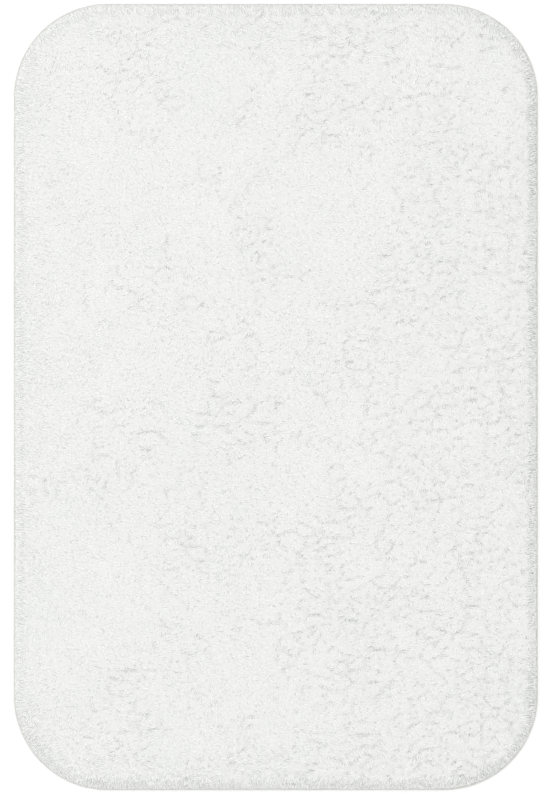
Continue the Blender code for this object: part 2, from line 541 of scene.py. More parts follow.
class Bench:
    """A new material's node tree, with short ways to add and join nodes."""

    def __init__(self, name: str) -> None:
        """Makes an empty material with one Principled shader.

        Args:
            name: The material's name.
        """
        self.material = bpy.data.materials.new(name)
        self.material.use_nodes = True
        self.tree = self.material.node_tree
        self.shader = self.tree.nodes["Principled BSDF"]

    def add(self, kind: str, **values: object) -> bpy.types.Node:
        """Adds a node.

        Args:
            kind: The node's type name, without its ShaderNode prefix.
            **values: Its properties, or its inputs by their names with _ for a space.

        Returns:
            The new node.
        """
        node = self.tree.nodes.new("ShaderNode" + kind)
        for name, value in values.items():
            if hasattr(node, name):
                setattr(node, name, value)
            else:
                node.inputs[name.replace("_", " ")].default_value = value
        return node

    def join(self, source: bpy.types.NodeSocket, target: bpy.types.NodeSocket) -> None:
        """Joins an output to an input."""
        self.tree.links.new(source, target)

    def place(self) -> bpy.types.NodeSocket:
        """The place of each point on the mat."""
        return self.add("TexCoord").outputs["Object"]

    def map(self, name: str) -> bpy.types.NodeSocket:
        """The piece's own map of that name."""
        return self.add("UVMap", uv_map=name).outputs["UV"]

    def mark(self, name: str) -> bpy.types.NodeSocket:
        """The number that each point of the piece carries under that name."""
        return self.add("Attribute", attribute_name=name).outputs["Fac"]

    def ramp(self, source: bpy.types.NodeSocket, *stops: tuple[float, Colour]) -> bpy.types.NodeSocket:
        """Turns a value into a colour.

        Args:
            source: The value.
            *stops: Pairs of a position and a colour.

        Returns:
            The colour's socket.
        """
        node = self.add("ValToRGB")
        elements = node.color_ramp.elements
        while len(elements) < len(stops):
            elements.new(0.5)
        for element, (place, colour) in zip(elements, stops):
            element.position = place
            element.color = (*colour, 1.0)
        self.join(source, node.inputs["Fac"])
        return node.outputs["Color"]

    def noise(self, where: bpy.types.NodeSocket, scale: float, detail: float) -> bpy.types.NodeSocket:
        """A cloudy pattern over some coordinates.

        Args:
            where: The coordinates.
            scale: How fine the pattern is.
            detail: How many finer layers it has.

        Returns:
            The pattern's socket.
        """
        node = self.add("TexNoise", Scale=scale, Detail=detail)
        self.join(where, node.inputs["Vector"])
        return node.outputs["Fac"]

    def multiply(self, first: bpy.types.NodeSocket, second: bpy.types.NodeSocket) -> bpy.types.NodeSocket:
        """Multiplies two colours.

        Args:
            first: One colour.
            second: The other colour.

        Returns:
            The product's socket.
        """
        node = self.add("Mix", data_type="RGBA", blend_type="MULTIPLY")
        share, colour_a, colour_b = (node.inputs[index] for index in (0, 6, 7))
        share.default_value = 1.0
        self.join(first, colour_a)
        self.join(second, colour_b)
        return node.outputs[2]

    def bump(self, height: bpy.types.NodeSocket, strength: float, distance: float) -> None:
        """Raises the surface by a pattern.

        Args:
            height: The pattern.
            strength: How much of it shows, from 0 to 1.
            distance: The height that a value of 1 stands for.
        """
        node = self.add("Bump", Strength=strength, Distance=distance)
        self.join(height, node.inputs["Height"])
        self.join(node.outputs["Normal"], self.shader.inputs["Normal"])

    def roughness(self, source: bpy.types.NodeSocket, low: float, high: float) -> None:
        """Varies the roughness by a pattern.

        Args:
            source: The pattern.
            low: The roughness where it is 0.
            high: The roughness where it is 1.
        """
        node = self.add("MapRange", To_Min=low, To_Max=high)
        self.join(source, node.inputs["Value"])
        self.join(node.outputs["Result"], self.shader.inputs["Roughness"])

    def colour(self, source: bpy.types.NodeSocket) -> None:
        """Sets the surface's colour."""
        self.join(source, self.shader.inputs["Base Color"])

    def sheen(self, weight: float, roughness: float) -> None:
        """Gives the surface a soft cloth sheen."""
        self.shader.inputs["Sheen Weight"].default_value = weight
        self.shader.inputs["Sheen Roughness"].default_value = roughness


@dataclass(frozen=True)
class PileFinish:
    """Soft white yarn: paler at its tips and darker low down, which is painted shade deep in the pile; greyer
    on the tufts low on the mat's side, as painted shade; and a little different from tuft to tuft and patch
    to patch.

    Attributes:
        name: The material's name.
        root: The colour low down, darker than the tips as painted shade deep in the pile.
        tip: The colour at the tips.
        fibres: Whether its fibres run along each tuft, or lie in all directions.
        painted_shade: The tone of the tufts lowest on the mat's side, darkened as painted shade.
        plain: The least tone of the others.
        patch: The tone of the least white patches.
    """

    name: str
    root: Colour
    tip: Colour
    fibres: bool
    painted_shade: Colour = (0.87, 0.87, 0.865)
    plain: Colour = (0.965, 0.965, 0.96)
    patch: Colour = (0.985, 0.99, 0.98)

    def make(self) -> bpy.types.Material:
        """Makes the material.

        Returns:
            The new material.
        """
        bench = Bench(self.name)
        where = bench.place()
        # The yarn darkens from tip to root: painted shade deep in the pile.
        body = bench.ramp(bench.mark("along"), (0.15, self.root), (0.75, self.tip))
        # The tone mark falls to 0 on the tufts low on the mat's side, which then take painted shade; above
        # that it is random.
        tufts = bench.ramp(bench.mark("tone"), (0.0, self.painted_shade), (0.2, self.plain), (1.0, WHITE))
        patches = bench.ramp(bench.noise(where, 16.0, 3.0), (0.35, self.patch), (0.65, WHITE))
        bench.colour(bench.multiply(bench.multiply(body, tufts), patches))
        if self.fibres:
            run = bench.add("Mapping", Scale=(9.0, 0.9, 1.0))
            bench.join(bench.map(THREAD_MAP), run.inputs["Vector"])
            grain = bench.noise(run.outputs["Vector"], 2.5, 3.0)
            bench.bump(grain, 0.3, 0.2 * MM)
        else:
            grain = bench.noise(where, 1300.0, 4.0)
            bench.bump(grain, 0.6, 0.35 * MM)
        bench.roughness(grain, 0.80, 0.98)
        bench.sheen(0.15, 0.5)
        return bench.material


@dataclass(frozen=True)
class ClothFinish:
    """A plain weave, with differences from thread to thread and from patch to patch.

    Attributes:
        name: The material's name.
        low: The colour between the threads.
        high: The colour of the threads.
        thread: The distance between threads.
        uv: The map that the weave lies on, in metres; without one it lies on the mat's plan.
        gloss: How much the cloth shines.
        patch: The tone of the darker patches.
    """

    name: str
    low: Colour
    high: Colour
    thread: float
    uv: str = ""
    gloss: float = 0.5
    patch: Colour = (0.93, 0.93, 0.92)

    def make(self) -> bpy.types.Material:
        """Makes the material.

        Returns:
            The new material.
        """
        bench = Bench(self.name)
        where = bench.map(self.uv) if self.uv else bench.place()
        scale = 1.0 / (2 * self.thread)
        cross = bench.add("Math", operation="MULTIPLY")
        for direction, target in zip("XY", cross.inputs):
            wave = bench.add("TexWave", bands_direction=direction, Scale=scale, Distortion=0.6, Detail=1.0)
            bench.join(where, wave.inputs["Vector"])
            bench.join(wave.outputs["Fac"], target)
        weave = cross.outputs["Value"]
        threads = bench.ramp(weave, (0.0, self.low), (0.6, self.high))
        patches = bench.ramp(bench.noise(where, 40.0, 4.0), (0.3, self.patch), (0.7, WHITE))
        bench.colour(bench.multiply(threads, patches))
        bench.roughness(weave, 0.95, 0.82)
        bench.bump(weave, 0.6, 0.25 * MM)
        bench.sheen(0.15, 0.5)
        bench.shader.inputs["Specular IOR Level"].default_value = self.gloss
        return bench.material


@dataclass(frozen=True)
class RubberFinish:
    """Soft rubber or latex: a little mottled, with a fine grain.

    Attributes:
        name: The material's name.
        dull: The colour of its dull spots.
        clean: The colour of its clean spots.
        rough: Its usual roughness.
    """

    name: str
    dull: Colour
    clean: Colour
    rough: float

    def make(self) -> bpy.types.Material:
        """Makes the material.

        Returns:
            The new material.
        """
        bench = Bench(self.name)
        where = bench.place()
        mottle = bench.noise(where, 30.0, 5.0)
        grain = bench.noise(where, 900.0, 3.0)
        bench.colour(bench.ramp(mottle, (0.3, self.dull), (0.7, self.clean)))
        bench.roughness(grain, self.rough - 0.12, self.rough + 0.1)
        bench.bump(grain, 0.35, 0.2 * MM)
        return bench.material


@dataclass(frozen=True)
class ThreadFinish:
    """Sewing thread: plies that wind round it.

    Attributes:
        name: The material's name.
        groove: The colour between the plies.
        ply: The colour of the plies.
    """

    name: str
    groove: Colour
    ply: Colour

    def make(self) -> bpy.types.Material:
        """Makes the material.

        Returns:
            The new material.
        """
        bench = Bench(self.name)
        wave = bench.add("TexWave", bands_direction="DIAGONAL", Scale=3.0, Distortion=0.3)
        bench.join(bench.map(THREAD_MAP), wave.inputs["Vector"])
        plies = wave.outputs["Fac"]
        bench.colour(bench.ramp(plies, (0.2, self.groove), (0.7, self.ply)))
        bench.roughness(plies, 0.65, 0.5)
        bench.bump(plies, 0.5, 0.05 * MM)
        bench.sheen(0.2, 0.4)
        return bench.material


@dataclass(frozen=True)
class Route:
    """Where many copies of one small shape go: each follows its own bend.

    Attributes:
        start: One end of each bend, as rows.
        middle: Each bend's control point.
        end: The other end of each bend.
        face: The way that the broad side of each copy looks.
        width: Each copy's half width.
        depth: Each copy's half thickness.
    """

    start: np.ndarray
    middle: np.ndarray
    end: np.ndarray
    face: np.ndarray
    width: np.ndarray
    depth: np.ndarray

    def select(self, chosen: np.ndarray) -> "Route":
        """The bends that a mask picks."""
        return Route(*(getattr(self, name)[chosen] for name in self.__dataclass_fields__))

    def bend(self, shape: np.ndarray) -> np.ndarray:
        """Bends copies of a shape.

        Args:
            shape: The shape's points: across, deep, and along from 0 to 1.

        Returns:
            An array of bends by points by coordinates.
        """
        t = shape[None, :, 2:3]
        start, middle, end = (part[:, None, :] for part in (self.start, self.middle, self.end))
        path = (1 - t) ** 2 * start + 2 * t * (1 - t) * middle + t**2 * end
        way = unit(2 * (1 - t) * (middle - start) + 2 * t * (end - middle))
        side = unit(np.cross(self.face[:, None, :], way))
        out = np.cross(way, side)
        across = shape[None, :, 0:1] * self.width[:, None, None]
        deep = shape[None, :, 1:2] * self.depth[:, None, None]
        return path + side * across + out * deep


@dataclass(frozen=True)
class Strand:
    """A short length of yarn or thread, straight and of unit size: the shape that is repeated.

    Attributes:
        sides: How many sides it has.
        rings: The places of its rings along it, and their radii.
        tip: Whether it ends in a point and not in a flat cap.
    """

    sides: int
    rings: Profile
    tip: bool = False

    def make(self) -> bmesh.types.BMesh:
        """Makes the shape, with its length along Z from 0 to 1 and a cell of the bake map.

        Returns:
            A new bmesh, closed.
        """
        mesh = bmesh.new()
        height, size = self.rings[0]
        circle = bmesh.ops.create_circle(mesh, segments=self.sides, radius=size, cap_ends=False)
        edges = mesh.edges[:]
        bmesh.ops.contextual_create(mesh, geom=edges)
        bmesh.ops.translate(mesh, vec=(0, 0, height), verts=circle["verts"])
        for place, radius in self.rings[1:]:
            ring, edges = self.grow(mesh, edges)
            bmesh.ops.scale(mesh, vec=(radius / size, radius / size, 1.0), verts=ring)
            bmesh.ops.translate(mesh, vec=(0, 0, place - height), verts=ring)
            size, height = radius, place
        if self.tip:
            ring, _ = self.grow(mesh, edges)
            bmesh.ops.pointmerge(mesh, verts=ring, merge_co=(0, 0, 1.0))
        else:
            bmesh.ops.contextual_create(mesh, geom=edges)
        bmesh.ops.recalc_face_normals(mesh, faces=mesh.faces)
        self.map_cell(mesh)
        return mesh

    @staticmethod
    def grow(mesh: bmesh.types.BMesh, edges: list) -> tuple[list, list]:
        """Extrudes a ring of edges.

        Args:
            mesh: The bmesh that holds it.
            edges: The ring's edges.

        Returns:
            The new ring's vertices, and its edges.
        """
        grown = bmesh.ops.extrude_edge_only(mesh, edges=edges)["geom"]
        ring = [part for part in grown if isinstance(part, bmesh.types.BMVert)]
        new_edges = [part for part in grown if isinstance(part, bmesh.types.BMEdge)]
        return ring, [edge for edge in new_edges if all(corner in ring for corner in edge.verts)]

    def map_cell(self, mesh: bmesh.types.BMesh) -> None:
        """Lays the shape out in one unit square: its sides above, its caps in two squares below.

        Args:
            mesh: The shape.
        """
        foot_cap, head_cap, cap_line = 0.15, 0.6, 0.1
        cap_width, cap_height = 0.1, 0.08
        side_line, side_height, gap = 0.24, 0.72, 0.06
        layer = mesh.loops.layers.uv.new(BAKE_MAP)
        for face in mesh.faces:
            middle = face.calc_center_median()
            is_cap = abs(face.normal.z) > 0.99
            turn = (math.atan2(middle.y, middle.x) / math.tau - 0.25) % 1.0
            slot = min(int(turn * self.sides), self.sides - 1)
            for loop in face.loops:
                spot = loop.vert.co
                if is_cap:
                    shift = foot_cap if middle.z < 0.5 else head_cap
                    loop[layer].uv = (shift + cap_width * spot.x, cap_line + cap_height * spot.y)
                    continue
                ahead = (math.atan2(spot.y, spot.x) - math.atan2(middle.y, middle.x)) % math.tau > math.pi
                share = gap if ahead else 1 - gap
                if spot.xy.length < 1e-6:
                    share = 0.5
                loop[layer].uv = ((slot + share) / self.sides, side_line + side_height * spot.z)


@dataclass(frozen=True)
class Repeat:
    """Repeats one small shape along many bends as a single mesh."""

    strand: Strand

    def make(self, name: str, route: Route, tones: np.ndarray, thread_map: bool = False) -> bpy.types.Object:
        """Makes the piece.

        Args:
            name: The piece's name.
            route: Where the copies go.
            tones: One number for each copy, kept as the attribute tone.
            thread_map: Whether the piece also gets a map called thread, alike on every copy.

        Returns:
            The new object, at the origin.
        """
        mesh = self.strand.make()
        mesh.verts.index_update()
        layer = mesh.loops.layers.uv[BAKE_MAP]
        loops = [loop for face in mesh.faces for loop in face.loops]
        shape = np.array([corner.co[:] for corner in mesh.verts])
        corners = np.array([loop.vert.index for loop in loops])
        spots = np.array([loop[layer].uv[:] for loop in loops])
        counts = np.array([len(face.loops) for face in mesh.faces])
        mesh.free()
        copies = len(tones)
        data = bpy.data.meshes.new(name)
        data.vertices.add(copies * len(shape))
        data.vertices.foreach_set("co", route.bend(shape).astype(np.float32).ravel())
        data.loops.add(copies * len(corners))
        data.loops.foreach_set("vertex_index", self.numbered(corners, len(shape), copies))
        data.polygons.add(copies * len(counts))
        starts = np.concatenate([[0], np.cumsum(counts)[:-1]])
        data.polygons.foreach_set("loop_start", self.numbered(starts, len(corners), copies))
        data.update(calc_edges=True)
        data.shade_smooth()
        maps = {BAKE_MAP: self.spread(spots, copies)}
        if thread_map:
            maps[THREAD_MAP] = np.tile(spots, (copies, 1))
        for title, rows in maps.items():
            data.uv_layers.new(name=title)
            data.uv_layers[title].uv.foreach_set("vector", rows.astype(np.float32).ravel())
        Workshop.mark(data, "along", np.tile(shape[:, 2], copies))
        Workshop.mark(data, "tone", np.repeat(tones, len(shape)))
        return Workshop.put(name, data)

    @staticmethod
    def numbered(numbers: np.ndarray, step: int, copies: int) -> np.ndarray:
        """One copy's numbers for every copy, a step higher each time."""
        return (numbers[None, :] + np.arange(copies)[:, None] * step).astype(np.int32).ravel()

    @staticmethod
    def spread(spots: np.ndarray, copies: int) -> np.ndarray:
        """Gives every copy a cell of its own in the bake map.

        Args:
            spots: One copy's map, in a unit square.
            copies: How many copies there are.

        Returns:
            An array of copies by spots by coordinates.
        """
        across = math.ceil(math.sqrt(copies))
        cell = np.stack([np.arange(copies) % across, np.arange(copies) // across], axis=1)
        return (cell[:, None, :] + spots[None, :, :]) / across


class Workshop:
    """What every sub-assembly does with its pieces."""

    @staticmethod
    def points(obj: bpy.types.Object) -> np.ndarray:
        """The mesh points of a piece.

        Args:
            obj: The piece.

        Returns:
            One row for each point.
        """
        values = np.empty(len(obj.data.vertices) * 3, np.float32)
        obj.data.vertices.foreach_get("co", values)
        return values.reshape(-1, 3).astype(float)

    @staticmethod
    def move(obj: bpy.types.Object, points: np.ndarray) -> None:
        """Puts the mesh points of a piece where the rows say."""
        obj.data.vertices.foreach_set("co", points.astype(np.float32).ravel())
        obj.data.update()

    @staticmethod
    def mark(data: bpy.types.Mesh, title: str, values: np.ndarray) -> None:
        """Keeps one number for each point of a mesh."""
        layer = data.attributes.new(title, "FLOAT", "POINT")
        layer.data.foreach_set("value", values.astype(np.float32))

    @staticmethod
    def put(name: str, data: bpy.types.Mesh) -> bpy.types.Object:
        """Makes a mesh an object at the origin.

        Args:
            name: The piece's name.
            data: The mesh, which holds the piece's place.

        Returns:
            The new object.
        """
        obj = bpy.data.objects.new(name, data)
        bpy.context.scene.collection.objects.link(obj)
        return obj

    @staticmethod
    def place(name: str, mesh: bmesh.types.BMesh) -> bpy.types.Object:
        """Turns a bmesh into an object at the origin.

        Args:
            name: The piece's name.
            mesh: The bmesh, which is freed.

        Returns:
            The new object.
        """
        data = bpy.data.meshes.new(name)
        mesh.to_mesh(data)
        mesh.free()
        return Workshop.put(name, data)

    @staticmethod
    def dress(obj: bpy.types.Object, material: bpy.types.Material, slot: str, *nodes: str) -> None:
        """Gives a piece its finish, joins it to the body and hides the CAD nodes that it stands for.

        Args:
            obj: The piece.
            material: Its finish.
            slot: The record's material slot; not used.
            *nodes: The CAD nodes that it replaces.
        """
        obj.data.materials.clear()
        obj.data.materials.append(material)
        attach(obj, BODY)
        if nodes:
            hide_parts(*nodes)
        LOG.info("%s: %d faces", obj.name, len(obj.data.polygons))


@dataclass
class Pile:
    """The pile: a padded core that holds its form, and the tufts that grow from it.

    Attributes:
        form: The pile's outer form.
        lie: How the pile lies.
        root_z: The height of the core's foot.
        root_inset: How far inside the edge that foot ends.
        foot: The lowest height that a tuft reaches.
        spacing: The distance between tufts.
        scatter: How far a tuft stands from its place in the rows, in spacings.
        reach: A tuft's usual length.
        half_width: Half its usual width.
        half_depth: Half its usual thickness.
        sunk: How deep its root is.
        arch: How high its middle is drawn over the form.
        lift: How much tufts differ in height, in millimetres.
        untidy: How much they differ in direction.
        shade: How far up the side the tufts are darkened as painted shade.
        profile: The places of a tuft's rings along it, and their radii.
        bands: How many pieces the tufts are shared between.
        cover: How deep the core lies under the form.
        loose_cover: How much deeper it lies where the pile stands loosely.
        voxel: The size of the core's even mesh.
        pressure: The air pressure that swells the core.
        frames: How many steps the swelling takes.
        swell: The most that a point of the core may swell.
        settle: How much of the way to its place under the form the core is brought.
        depth_painted_shade: The core's colour: the yarn's white, darkened as painted shade between the tufts.
    """

    form: PileForm
    lie: PileLie
    root_z: float
    root_inset: float
    foot: float
    spacing: float = 2.24 * MM
    scatter: float = 0.42
    reach: float = 6.2 * MM
    half_width: float = 0.85 * MM
    half_depth: float = 0.36 * MM
    sunk: float = 1.3 * MM
    arch: float = 0.32 * MM
    lift: float = 0.13
    untidy: float = 0.34
    shade: float = 12 * MM
    profile: Profile = ((0.0, 0.85), (0.4, 1.0), (0.78, 0.78))
    bands: int = 11
    cover: float = 0.03 * MM
    loose_cover: float = 0.75 * MM
    voxel: float = 5.6 * MM
    pressure: float = 4.0
    frames: int = 20
    swell: float = 0.7 * MM
    settle: float = 0.85
    depth_painted_shade: Colour = (0.79, 0.79, 0.78)

    def build(self) -> None:
        """Makes the core and the tufts."""
        tuft_finish = PileFinish("pile_yarn", (0.88, 0.88, 0.87), (0.925, 0.935, 0.925), True).make()
        # The core's darker colour is painted shade in the gaps between the tufts.
        core_finish = PileFinish("pile_depth", self.depth_painted_shade, self.depth_painted_shade, False).make()
        core = self.core()
        Workshop.dress(core, core_finish, "pile_yarn", "pile")
        route, tones = self.tufts()
        bounds = np.linspace(-0.5, 0.5, self.bands + 1) * self.form.plan.width * 1.1
        tuft = Repeat(Strand(3, self.profile, True))
        for band, (low, high) in enumerate(zip(bounds, bounds[1:])):
            chosen = (route.start[:, 0] >= low) & (route.start[:, 0] < high)
            name = f"pile_tufts_{band + 1:02d}"
            piece = tuft.make(name, route.select(chosen), tones[chosen], thread_map=True)
            Workshop.dress(piece, tuft_finish, "pile_yarn", "pile")

    def core(self) -> bpy.types.Object:
        """The padded core: swollen by a cloth simulation, then shaped by the pile's locks.

        Returns:
            The new object.
        """
        core = Workshop.place("pile_core", self.blank())
        remesh = core.modifiers.new("Even", "REMESH")
        remesh.mode = "VOXEL"
        remesh.voxel_size = self.voxel
        self.apply(core)
        self.swell_up(core)
        finer = core.modifiers.new("Finer", "SUBSURF")
        finer.levels = finer.render_levels = 1
        self.apply(core)
        self.shape_top(core)
        core.data.shade_smooth()
        return core

    def blank(self) -> bmesh.types.BMesh:
        """The core before it is padded: the pile's form a little smaller, on a foot.

        Returns:
            A new bmesh, closed.
        """
        form = self.form
        under = self.cover + 0.8 * self.swell
        mesh = form.plan.slab(form.setback + under, form.lip, form.top - under, 8)
        rim = [edge for edge in mesh.edges if all(corner.co.z > form.lip + MM for corner in edge.verts)]
        bmesh.ops.bevel(
            mesh, geom=rim, offset=form.shoulder - under, affect="EDGES", segments=5, profile=0.5, material=-1
        )
        base = [face for face in mesh.faces if face.normal.z < -0.99]
        bmesh.ops.inset_region(mesh, faces=base, thickness=self.root_inset - form.setback - under)
        foot = bmesh.ops.extrude_face_region(mesh, geom=base)["geom"]
        feet = [part for part in foot if isinstance(part, bmesh.types.BMVert)]
        bmesh.ops.translate(mesh, vec=(0, 0, self.root_z - form.lip), verts=feet)
        bmesh.ops.delete(mesh, geom=base, context="FACES")
        bmesh.ops.recalc_face_normals(mesh, faces=mesh.faces)
        return mesh

    @staticmethod
    def apply(obj: bpy.types.Object) -> None:
        """Keeps what an object's modifiers make, and removes them.

        Args:
            obj: The object.
        """
        graph = bpy.context.evaluated_depsgraph_get()
        made = bpy.data.meshes.new_from_object(obj.evaluated_get(graph))
        obj.modifiers.clear()
        obj.data = made

    def swell_up(self, core: bpy.types.Object) -> None:
        """Swells the core with a little air pressure, held down where it is rooted.

        Args:
            core: The core, with an even mesh.
        """
        scene = bpy.context.scene
        before = Workshop.points(core)
        held = core.vertex_groups.new(name="rooted")
        rooted = np.nonzero(before[:, 2] < self.form.lip + 2 * MM)[0]
        held.add(rooted.tolist(), 1.0, "REPLACE")
        cloth = core.modifiers.new("Swell", "CLOTH")
        cloth.settings.vertex_group_mass = held.name
        cloth.settings.use_pressure = True
        cloth.settings.uniform_pressure_force = self.pressure
        cloth.settings.effector_weights.gravity = 0.0
        for step in range(1, self.frames + 1):
            scene.frame_set(step)
        self.apply(core)
        core.vertex_groups.clear()
        move = Workshop.points(core) - before
        far = np.linalg.norm(move, axis=1, keepdims=True)
        Workshop.move(core, before + move * np.minimum(1.0, self.swell / np.maximum(far, TINY)))
        LOG.info("the core swells by up to %.1f mm before its cap", far.max() / MM)
        scene.frame_set(1)

    def shape_top(self, core: bpy.types.Object) -> None:
        """Brings the core close under the tufts, creases and all, and marks its points for its finish.

        Args:
            core: The swollen core.
        """
        points = Workshop.points(core)
        depth, way = self.form.depth(points)
        cover = self.cover + self.loose_cover * self.lie.open_edge(points[:, :2])
        gap = (depth - cover) * smooth(self.form.lip, self.form.lip + 2 * MM, points[:, 2])
        near = 1 - smooth(3 * MM, 5 * MM, np.abs(gap))
        points += way * (self.settle * gap * near)[:, None]
        high = smooth(self.form.lip + 2 * MM, self.form.top - 3 * MM, points[:, 2])
        points[:, 2] += high * self.lie.relief(points[:, :2])
        Workshop.move(core, points)
        for title in ("along", "tone"):
            Workshop.mark(core.data, title, np.ones(len(points)))

    def tufts(self) -> tuple[Route, np.ndarray]:
        """Works out where every tuft stands and how it lies.

        Returns:
            The tufts' bends, and a tone for each: random, and falling low on the side as painted shade.
        """
        random = np.random.default_rng(12)
        points = self.roots(random)
        places, normals, down, run = self.form.lay_on(points)
        places = places + normals * self.lie.relief(points)[:, None]
        outside = 1 - smooth(7 * MM, 34 * MM, run + 4 * MM * Drift(9 * MM, 51).at(points))
        way = self.ways(points, down, outside, random)
        count = len(points)
        reach = (self.reach * random.uniform(0.7, 1.3, count))[:, None]
        lift = (random.normal(0.0, self.lift, count) * (1 - 0.5 * outside) * MM)[:, None]
        arch = (self.arch * (1 - 0.5 * outside))[:, None]
        start = places - normals * self.sunk - way * 0.4 * reach
        middle = places + normals * (lift + arch) - way * 0.2 * reach
        end = places + normals * lift + way * 0.6 * reach
        for part in (start, middle, end):
            part[:, 2] = np.maximum(part[:, 2], self.foot)
        plump = random.uniform(0.82, 1.18, count)
        route = Route(start, middle, end, normals, self.half_width * plump, self.half_depth * plump)
        # Tones fall towards 0 low on the side, where the yarn finish paints shade.
        tones = random.uniform(0.2, 1, count) * smooth(0.0, self.shade, run)
        return route, tones

    def roots(self, random: np.random.Generator) -> np.ndarray:
        """The tufts' places on the unrolled plan: staggered rows, a little scattered.

        Args:
            random: Where the scatter is drawn from.

        Returns:
            The places, as rows.
        """
        plan, spare = self.form.plan, self.form.spare()
        half_x = plan.width / 2 + spare
        half_y = plan.length / 2 + spare
        xs = np.arange(-half_x, half_x, self.spacing)
        ys = np.arange(-half_y, half_y, self.spacing * math.sqrt(3) / 2)
        grid = np.stack(np.meshgrid(xs, ys, indexing="ij"), axis=-1)
        grid[:, 1::2, 0] += self.spacing / 2
        points = grid.reshape(-1, 2)
        points += random.uniform(-self.scatter, self.scatter, points.shape) * self.spacing
        return points[plan.inset(points) > -spare]

    def ways(
        self, points: np.ndarray, down: np.ndarray, outside: np.ndarray, random: np.random.Generator
    ) -> np.ndarray:
        """The way that each tuft lies: with the pile on top, fanned outwards over the shoulder.

        Args:
            points: The tufts' places on the unrolled plan.
            down: The way down the side at each place.
            outside: How much each tuft belongs to the side, from 0 to 1.
            random: Where the differences are drawn from.

        Returns:
            One vector for each tuft, of length 1 at most.
        """
        count = len(points)
        out = self.form.plan.outward(points)
        round_edge = np.stack([-out[:, 1], out[:, 0]], axis=1)
        fan = random.normal(0, 0.18, count) + 0.4 * Drift(7 * MM, 52).at(points)
        edge_lean = out * np.cos(fan)[:, None] + round_edge * np.sin(fan)[:, None]
        lean = self.lie.lean(points) * (1 - outside)[:, None] + 1.2 * edge_lean * outside[:, None]
        lean += random.normal(0, self.untidy, (count, 2)) * (1 - 0.6 * outside)[:, None]
        lean = unit(lean, 0.8)
        part_out = (lean * out).sum(axis=1)
        part_round = lean[:, 1] * out[:, 0] - lean[:, 0] * out[:, 1]
        level_round = np.column_stack([round_edge, np.zeros(count)])
        return down * part_out[:, None] + level_round * part_round[:, None]


@dataclass(frozen=True)
class StitchRow:
    """A row of equal stitches: short arches of thread.

    Attributes:
        half: Half a stitch's length.
        thread: The thread's radius.
        foot: The height of a stitch's ends.
        crown: The height that its middle is drawn towards.
        side: The side of the mat that the stitches lie on.
        seed: Which random tones they get.
        profile: The places of a stitch's rings along it, and their radii.
    """

    half: float
    thread: float
    foot: float
    crown: float
    side: Side
    seed: int
    profile: Profile = ((0.0, 0.75), (0.18, 1.0), (0.5, 1.05), (0.82, 1.0), (1.0, 0.75))

    def make(self, name: str, places: np.ndarray, ways: np.ndarray) -> bpy.types.Object:
        """Makes the row.

        Args:
            name: The piece's name.
            places: The middle of each stitch on the plan, as rows.
            ways: The way that each stitch runs, as rows.

        Returns:
            The new object.
        """
        count = len(places)
        spots = ((-self.half, self.foot), (0.0, self.crown), (self.half, self.foot))
        bend = (np.column_stack([places + ways * along, np.full(count, height)]) for along, height in spots)
        face = np.tile((0.0, 0.0, float(self.side.value)), (count, 1))
        size = np.full(count, self.thread)
        tones = np.random.default_rng(self.seed).uniform(0, 1, count)
        route = Route(*bend, face, size, size)
        return Repeat(Strand(6, self.profile)).make(name, route, tones, thread_map=True)


